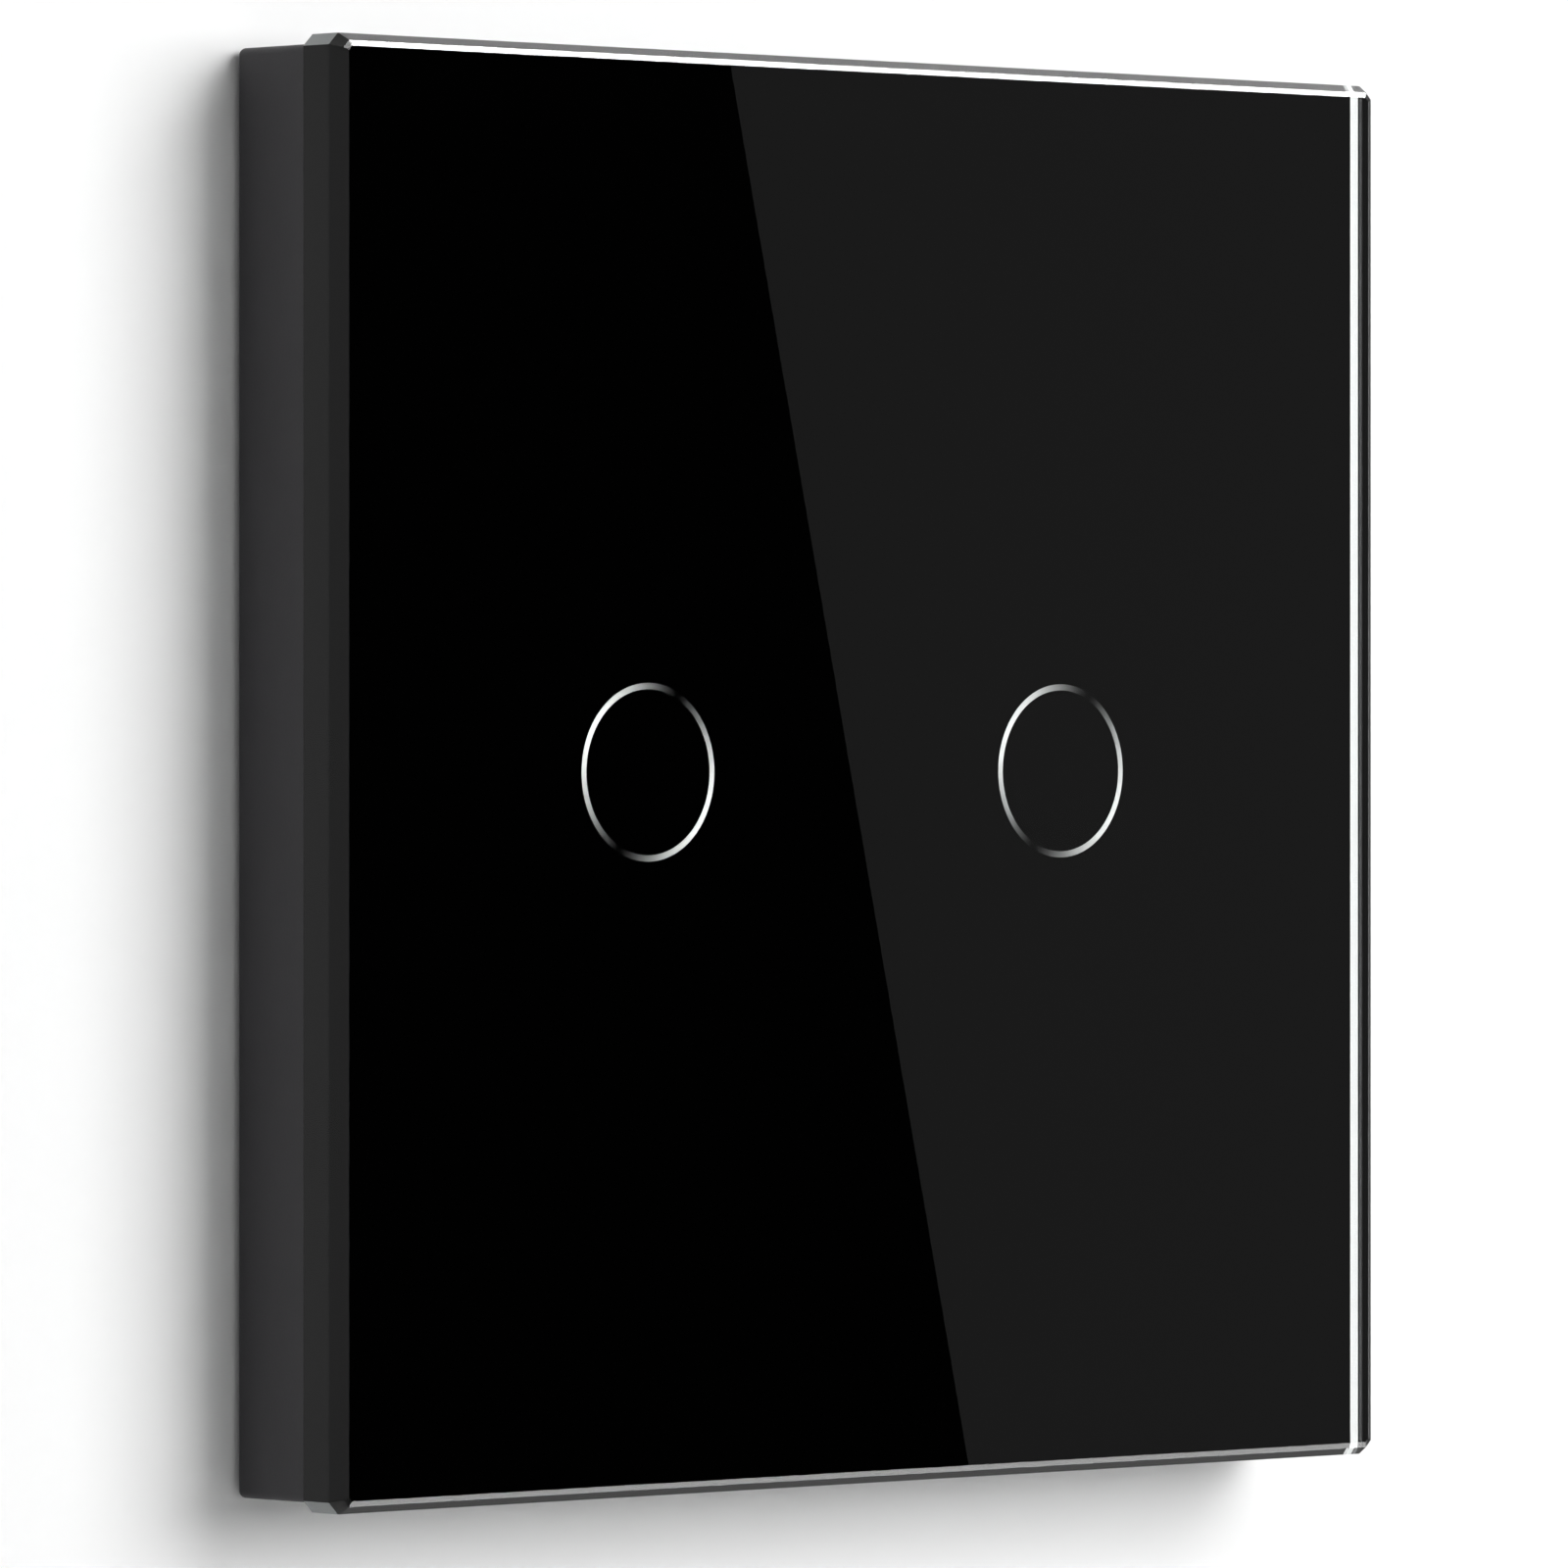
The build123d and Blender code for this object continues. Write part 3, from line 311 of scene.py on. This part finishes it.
def glass_back():
    """The back of the glass: bonded ink with a bright ring in each gap, whose sheen is painted into its
    colour as highlight and shade, and a clear margin.
    """
    material, shader = new_material("glass_back", ink_color, 0.5, specular=0.0)
    tree = material.node_tree
    distance, painted_sheen = ring_places(material)
    outside = arithmetic(tree, "GREATER_THAN", distance, ring_inner)
    on_ring = arithmetic(tree, "MULTIPLY", outside, arithmetic(tree, "LESS_THAN", distance, ring_outer))
    # The ring's painted sheen: highlight and shade painted into its colour by angle round its centre
    painted_shine = arithmetic(tree, "MULTIPLY", painted_sheen, on_ring)
    drive(material, shader, "Base Color", blend_colors(material, painted_shine, ink_color, painted_ring_highlight))
    drive(material, shader, "Metallic", on_ring)
    drive(material, shader, "Roughness", spread(material, on_ring, 1.0, 0.32, start=0.0, end=1.0))
    x, _, z = separated(tree, coordinates(material))
    reach = arithmetic(tree, "MAXIMUM", arithmetic(tree, "ABSOLUTE", x), arithmetic(tree, "ABSOLUTE", z))
    margin = arithmetic(tree, "GREATER_THAN", reach, print_reach)
    glass = tree.nodes.new("ShaderNodeBsdfPrincipled")
    dress_as_glass(glass)
    mix_shaders(tree, margin, shader, glass)
    return material


# Plastics, metals and the boards' pieces

def moulded(name, color, roughness, grain, depth, specular=0.5):
    """Moulded plastic with an eroded grain of this size and depth, and a faint mottle."""
    mottle_size, mottle_tint, gloss_range = 12 * grain, 1.12, 0.06
    material, shader = new_material(name, color, roughness, specular=specular)
    mottle = noise(material, mottle_size)
    lighter = tinted(color, mottle_tint)
    drive(material, shader, "Base Color", blend_colors(material, mottle, color, lighter))
    fine = noise(material, grain, detail=4.0)
    uneven = spread(material, fine, roughness - gloss_range, roughness + gloss_range)
    drive(material, shader, "Roughness", uneven)
    bump(material, shader, fine, depth)
    return material


def plated_sheet(name, color, roughness, brush):
    """Plated sheet metal with clouds, and rolling lines that run along the axis with the low brush."""
    line_width, line_depth = 0.08 * mm, 0.004 * mm
    cloud_size, cloud_tint, glossier, duller = 3 * mm, 0.82, 0.08, 0.1
    material, shader = new_material(name, color, roughness, metallic=1.0)
    lines = noise(material, line_width, vector=stretched(material, brush))
    clouds = noise(material, cloud_size, detail=5.0)
    darker = tinted(color, cloud_tint)
    drive(material, shader, "Base Color", blend_colors(material, clouds, darker, color))
    uneven = spread(material, clouds, roughness - glossier, roughness + duller)
    drive(material, shader, "Roughness", uneven)
    bump(material, shader, lines, line_depth)
    return material


def circuit_board():
    """Green lacquer over copper, whose straight-sided areas show lighter and raised."""
    square_size, copper_height = 2.6 * mm, 0.03 * mm
    bare_green, copper_green = (0.007, 0.075, 0.026), (0.011, 0.11, 0.035)
    material, shader = new_material("board_laminate", (0.01, 0.1, 0.03), 0.35)
    set_value(shader, "Coat Weight", 0.4)
    squares = cells(material, square_size, metric="CHEBYCHEV")
    copper = spread(material, squares, 1.0, 0.0, start=0.38, end=0.4)
    drive(material, shader, "Base Color", blend_colors(material, copper, bare_green, copper_green))
    bump(material, shader, copper, copper_height)
    return material


def foam():
    """Black conductive foam with open pores, painted darker in the pores as the shade inside them."""
    pore_size, pore_depth = 0.35 * mm, 0.15 * mm
    painted_pore_shade, skin_black = (0.008, 0.008, 0.008), (0.035, 0.035, 0.036)
    material, shader = new_material("pad_foam", (0.022, 0.022, 0.023), 0.95, specular=0.2)
    pores = cells(material, pore_size)
    # The pores' hollows are painted darker, as shade in them
    drive(material, shader, "Base Color", blend_colors(material, pores, painted_pore_shade, skin_black))
    bump(material, shader, pores, pore_depth)
    return material


def frosted_acrylic():
    """Light guide: clear acrylic with a frosted skin."""
    material, shader = new_material("guide_acrylic", (0.9, 0.92, 0.94), 0.35)
    set_value(shader, "Transmission Weight", 0.85)
    set_value(shader, "IOR", 1.49)
    bump(material, shader, noise(material, 0.1 * mm), 0.02 * mm)
    return material


def resin(name, color, roughness, coat=0.0):
    """Cast or dipped resin, slightly uneven."""
    wave_size, wave_depth, wave_tint = 1.5 * mm, 0.05 * mm, 0.8
    pit_size, glossier, duller = 0.12 * mm, 0.05, 0.08
    material, shader = new_material(name, color, roughness)
    set_value(shader, "Coat Weight", coat)
    waves = noise(material, wave_size)
    darker = tinted(color, wave_tint)
    drive(material, shader, "Base Color", blend_colors(material, waves, darker, color))
    pits = noise(material, pit_size, detail=4.0)
    uneven = spread(material, pits, roughness - glossier, roughness + duller)
    drive(material, shader, "Roughness", uneven)
    bump(material, shader, waves, wave_depth, strength=0.6)
    return material


def winding():
    """Enamelled copper wire, wound in close turns, painted darker in the grooves and lighter on the crests
    as shade and light: the texture fits about three turns in its size.
    """
    texture_size, turn_depth = 2.6 * mm, 0.08 * mm
    groove_painted_shade, crest_painted_light = (0.32, 0.08, 0.02), (0.75, 0.3, 0.1)
    material, shader = new_material("copper_winding", (0.62, 0.2, 0.06), 0.28, metallic=0.9)
    set_value(shader, "Coat Weight", 0.5)
    texture = material.node_tree.nodes.new("ShaderNodeTexWave")
    texture.bands_direction = "Y"
    set_value(texture, "Scale", 1 / texture_size)
    set_value(texture, "Distortion", 0.4)
    material.node_tree.links.new(coordinates(material), texture.inputs["Vector"])
    turns = texture.outputs["Fac"]
    # Painted shade in the grooves between turns and painted light on their crests
    drive(material, shader, "Base Color", blend_colors(material, turns, groove_painted_shade, crest_painted_light))
    bump(material, shader, turns, turn_depth)
    return material


def ceramic(name, color, roughness):
    """Sintered ceramic or ferrite with a fine grain."""
    grain_size, grain_depth, grain_tint = 0.18 * mm, 0.02 * mm, 1.5
    material, shader = new_material(name, color, roughness)
    grain = cells(material, grain_size)
    lighter = tinted(color, grain_tint)
    drive(material, shader, "Base Color", blend_colors(material, grain, color, lighter))
    bump(material, shader, grain, grain_depth)
    return material


finishes = {
    "clear_glass": clear_glass(),
    "black_print": black_ink(),
    "ring_metal": ring_metal(),
    "frame_plastic": moulded(
        "frame_plastic", (0.047, 0.046, 0.049), 0.5, 0.12 * mm, 0.01 * mm, specular=0.25
    ),
    "plate_steel": plated_sheet("plate_steel", (0.66, 0.67, 0.68), 0.36, (1, 1, 0.02)),
    "housing_plastic": moulded("housing_plastic", (0.05, 0.05, 0.053), 0.55, 0.3 * mm, 0.03 * mm),
    "cover_plastic": moulded("cover_plastic", (0.045, 0.045, 0.048), 0.5, 0.22 * mm, 0.02 * mm),
    "screw_steel": plated_sheet("screw_steel", (0.72, 0.7, 0.64), 0.3, (1, 1, 1)),
    "board_laminate": circuit_board(),
    "pad_foam": foam(),
    "guide_acrylic": frosted_acrylic(),
    "led_resin": resin("led_resin", (0.85, 0.8, 0.55), 0.2, coat=0.5),
    "chip_resin": moulded("chip_resin", (0.018, 0.018, 0.02), 0.5, 0.15 * mm, 0.01 * mm),
    "chip_ceramic": ceramic("chip_ceramic", (0.3, 0.2, 0.12), 0.35),
    "connector_plastic": moulded("connector_plastic", (0.014, 0.014, 0.014), 0.42, 0.15 * mm, 0.01 * mm),
    "plated_brass": plated_sheet("plated_brass", (0.83, 0.66, 0.32), 0.26, (1, 0.05, 1)),
    "can_aluminium": resin("can_aluminium", (0.015, 0.02, 0.05), 0.3, coat=0.3),
    "film_case": resin("film_case", (0.72, 0.42, 0.02), 0.32),
    "ferrite": ceramic("ferrite", (0.03, 0.03, 0.033), 0.5),
    "copper_winding": winding(),
    "varistor_coat": resin("varistor_coat", (0.02, 0.08, 0.4), 0.25, coat=0.4),
    "fuse_case": resin("fuse_case", (0.22, 0.06, 0.02), 0.4),
    "terminal_plastic": moulded("terminal_plastic", (0.32, 0.34, 0.35), 0.45, 0.2 * mm, 0.015 * mm),
    "relay_plastic": moulded("relay_plastic", (0.018, 0.018, 0.019), 0.38, 0.2 * mm, 0.01 * mm),
    "relay_iron": plated_sheet("relay_iron", (0.62, 0.61, 0.58), 0.3, (1, 1, 0.05)),
    "contact_brass": plated_sheet("contact_brass", (0.8, 0.55, 0.24), 0.28, (0.05, 1, 1)),
    "plated_steel": plated_sheet("plated_steel", (0.74, 0.73, 0.7), 0.28, (1, 1, 0.05)),
}

for subpart in frame["record"]["subparts"]:
    nodes[subpart["node"]].data.materials[0] = finishes[subpart["material_slot"]]


# The glass's back and its ground corners

def paint_faces(node, material, chosen):
    """Gives a second material to the faces of a node that pass a test."""
    mesh = nodes[node].data
    mesh.materials.append(material)
    slot = len(mesh.materials) - 1
    for face in mesh.polygons:
        if chosen(face):
            face.material_index = slot


def is_back(face):
    """Whether a face of the glass lies at its back."""
    return face.center.y > glass_rear - back_slack


def is_cut_corner(face):
    """Whether a face of the glass is one of the flat cuts at its corners."""
    normal = face.normal
    return abs(normal.y) < cut_slack and abs(abs(normal.x) - abs(normal.z)) < cut_slack


paint_faces("glass_panel", glass_back(), is_back)
paint_faces("glass_panel", ground_glass(), is_cut_corner)


# Stage: a white wall that is clear from behind, and a pale floor

def quad(name, corners, material, faces=((0, 1, 2, 3),)):
    """A flat mesh on the stage, of one four-sided face unless more are given."""
    mesh = bpy.data.meshes.new(name)
    mesh.from_pydata([tuple(corner) for corner in corners], [], list(faces))
    mesh.materials.append(material)
    thing = add_object(name, mesh)
    return thing


def wall_paint():
    """Matt white paint, clear when seen from behind."""
    material, shader = new_material("wall_paint", (0.98, 0.98, 0.98), 0.9, specular=0.1)
    tree = material.node_tree
    behind = tree.nodes.new("ShaderNodeNewGeometry").outputs["Backfacing"]
    clear = tree.nodes.new("ShaderNodeBsdfTransparent")
    mix_shaders(tree, behind, shader, clear)
    return material


def floor_paint():
    """Matt pale paint."""
    material, _ = new_material("floor_paint", (0.8, 0.8, 0.8), 0.7, specular=0.2)
    return material


wall_corners = [
    (reach * side_x, wall_place, reach * side_z)
    for reach in (wall_reach, opening_reach)
    for side_x, side_z in square_corners
]
wall_faces = [(0, 1, 5, 4), (1, 2, 6, 5), (2, 3, 7, 6), (3, 0, 4, 7)]
quad("wall", wall_corners, wall_paint(), wall_faces)

floor_corners = [
    (floor_reach * side_x, floor_reach * side_y, floor_level)
    for side_x, side_y in square_corners
]
quad("floor", floor_corners, floor_paint())


# Camera at the photo's viewing angle

def add_camera():
    """The photo's camera, aimed close beside the middle of the glass."""
    data = bpy.data.cameras.new("camera")
    data.sensor_width = sensor_width
    data.lens = focal_pixels / photo_side * sensor_width
    data.shift_y = (centre_row - photo_side / 2) / photo_side
    thing = add_object("camera", data)
    front_centre = Vector((0, glass_front, camera_height))
    thing.location = front_centre + camera_distance * direction(camera_azimuth, 0)
    thing.rotation_euler = (pi / 2, 0, camera_azimuth + camera_turn)
    bpy.context.scene.camera = thing
    return thing


camera = add_camera()
bpy.context.view_layer.update()


# Screens and cards that only gloss can see

def mirrored_point(column, row):
    """The point on the screens that the face of the glass mirrors at a pixel of the photo."""
    across = (column - photo_side / 2) / focal_pixels
    up = (centre_row - row) / focal_pixels
    sight = Vector((across, up, -1)) * screen_distance
    point = camera.matrix_world @ sight
    return Vector((point.x, 2 * glass_front - point.y, point.z))


def glow_material(name, level):
    """A plain glowing surface."""
    material, shader = new_material(name, (0, 0, 0), 1.0, specular=0.0)
    set_value(shader, "Emission Color", (1, 1, 1, 1))
    set_value(shader, "Emission Strength", level)
    return material


def gloss_card(name, corners, level):
    """A glowing card that only gloss can see."""
    thing = quad(name, corners, glow_material(name, level))
    thing.visible_camera = False
    thing.visible_diffuse = False
    thing.visible_transmission = False
    thing.visible_volume_scatter = False
    thing.visible_shadow = False


def screen(name, left, right, level):
    """A screen between two edges, from above the photo to below it."""
    top, bottom = -screen_reach, photo_side + screen_reach
    corners = []
    for row, edges in ((top, (left, right)), (bottom, (right, left))):
        for column, slant in edges:
            corners.append(mirrored_point(column + slant * row / photo_side, row))
    gloss_card(name, corners, level)


def wall_card(name, left, right, low, high, level):
    """A card that lies on the wall."""
    gloss_card(name, [(left, 0, low), (right, 0, low), (right, 0, high), (left, 0, high)], level)


# Each edge: its column in the photo's top row, and how far it moves by the bottom row
left_edge = (-screen_reach, 0)
middle_edge = (screen_edge_top, screen_edge_bottom - screen_edge_top)
right_edge = (photo_side + screen_reach, 0)
screen("dark_screen", left_edge, middle_edge, 0.0)
screen("light_screen", middle_edge, right_edge, screen_level)
wall_card("side_card", *side_card)
wall_card("low_card", *low_card)


# Lamps and world

def soft_lamp(name, azimuth, elevation, distance, side, level):
    """A square soft lamp that lights a white surface facing it to this level."""
    data = bpy.data.lights.new(name, "AREA")
    data.shape = "SQUARE"
    data.size = side
    data.energy = level * pi ** 2 * distance ** 2
    lamp = add_object(name, data)
    towards = direction(radians(azimuth), radians(elevation))
    lamp.location = towards * distance
    lamp.rotation_euler = towards.to_track_quat("Z", "Y").to_euler()
    lamp.visible_camera = False
    return lamp


def edge_lamp(name, azimuth, elevation, distance, side, glow):
    """A square lamp that only gloss sees, where a polished edge of the glass mirrors it."""
    lamp = soft_lamp(name, azimuth, elevation, distance, side, glow * side ** 2 / (pi * distance ** 2))
    lamp.visible_diffuse = False
    lamp.visible_transmission = False


def set_world():
    """Even light from all round; the camera sees white, and gloss sees white behind the wall."""
    world = bpy.data.worlds.new("studio")
    world.use_nodes = True
    bpy.context.scene.world = world
    tree = world.node_tree
    background = tree.nodes["Background"]
    set_value(background, "Color", (1, 1, 1, 1))
    path = tree.nodes.new("ShaderNodeLightPath")
    _, y, _ = separated(tree, tree.nodes.new("ShaderNodeTexCoord").outputs["Generated"])

    behind = arithmetic(tree, "GREATER_THAN", y, 0)
    gloss = arithmetic(tree, "MULTIPLY", path.outputs["Is Glossy Ray"], behind)
    seen = arithmetic(tree, "MAXIMUM", path.outputs["Is Camera Ray"], path.outputs["Is Transmission Ray"])
    white = arithmetic(tree, "MAXIMUM", seen, gloss)
    mirrored = arithmetic(tree, "MULTIPLY", path.outputs["Is Glossy Ray"], gloss_level - ambient_level)
    dim = arithmetic(tree, "ADD", mirrored, ambient_level)
    level = arithmetic(tree, "MAXIMUM", white, dim)
    tree.links.new(level, background.inputs["Strength"])


soft_lamp("key_lamp", *key_place, key_level)
soft_lamp("rear_lamp", *rear_place, rear_level)
edge_lamp("top_edge_lamp", *top_edge_place, top_glow)
edge_lamp("bottom_edge_lamp", *bottom_edge_place, bottom_glow)
set_world()

bpy.context.scene.view_settings.view_transform = "Standard"
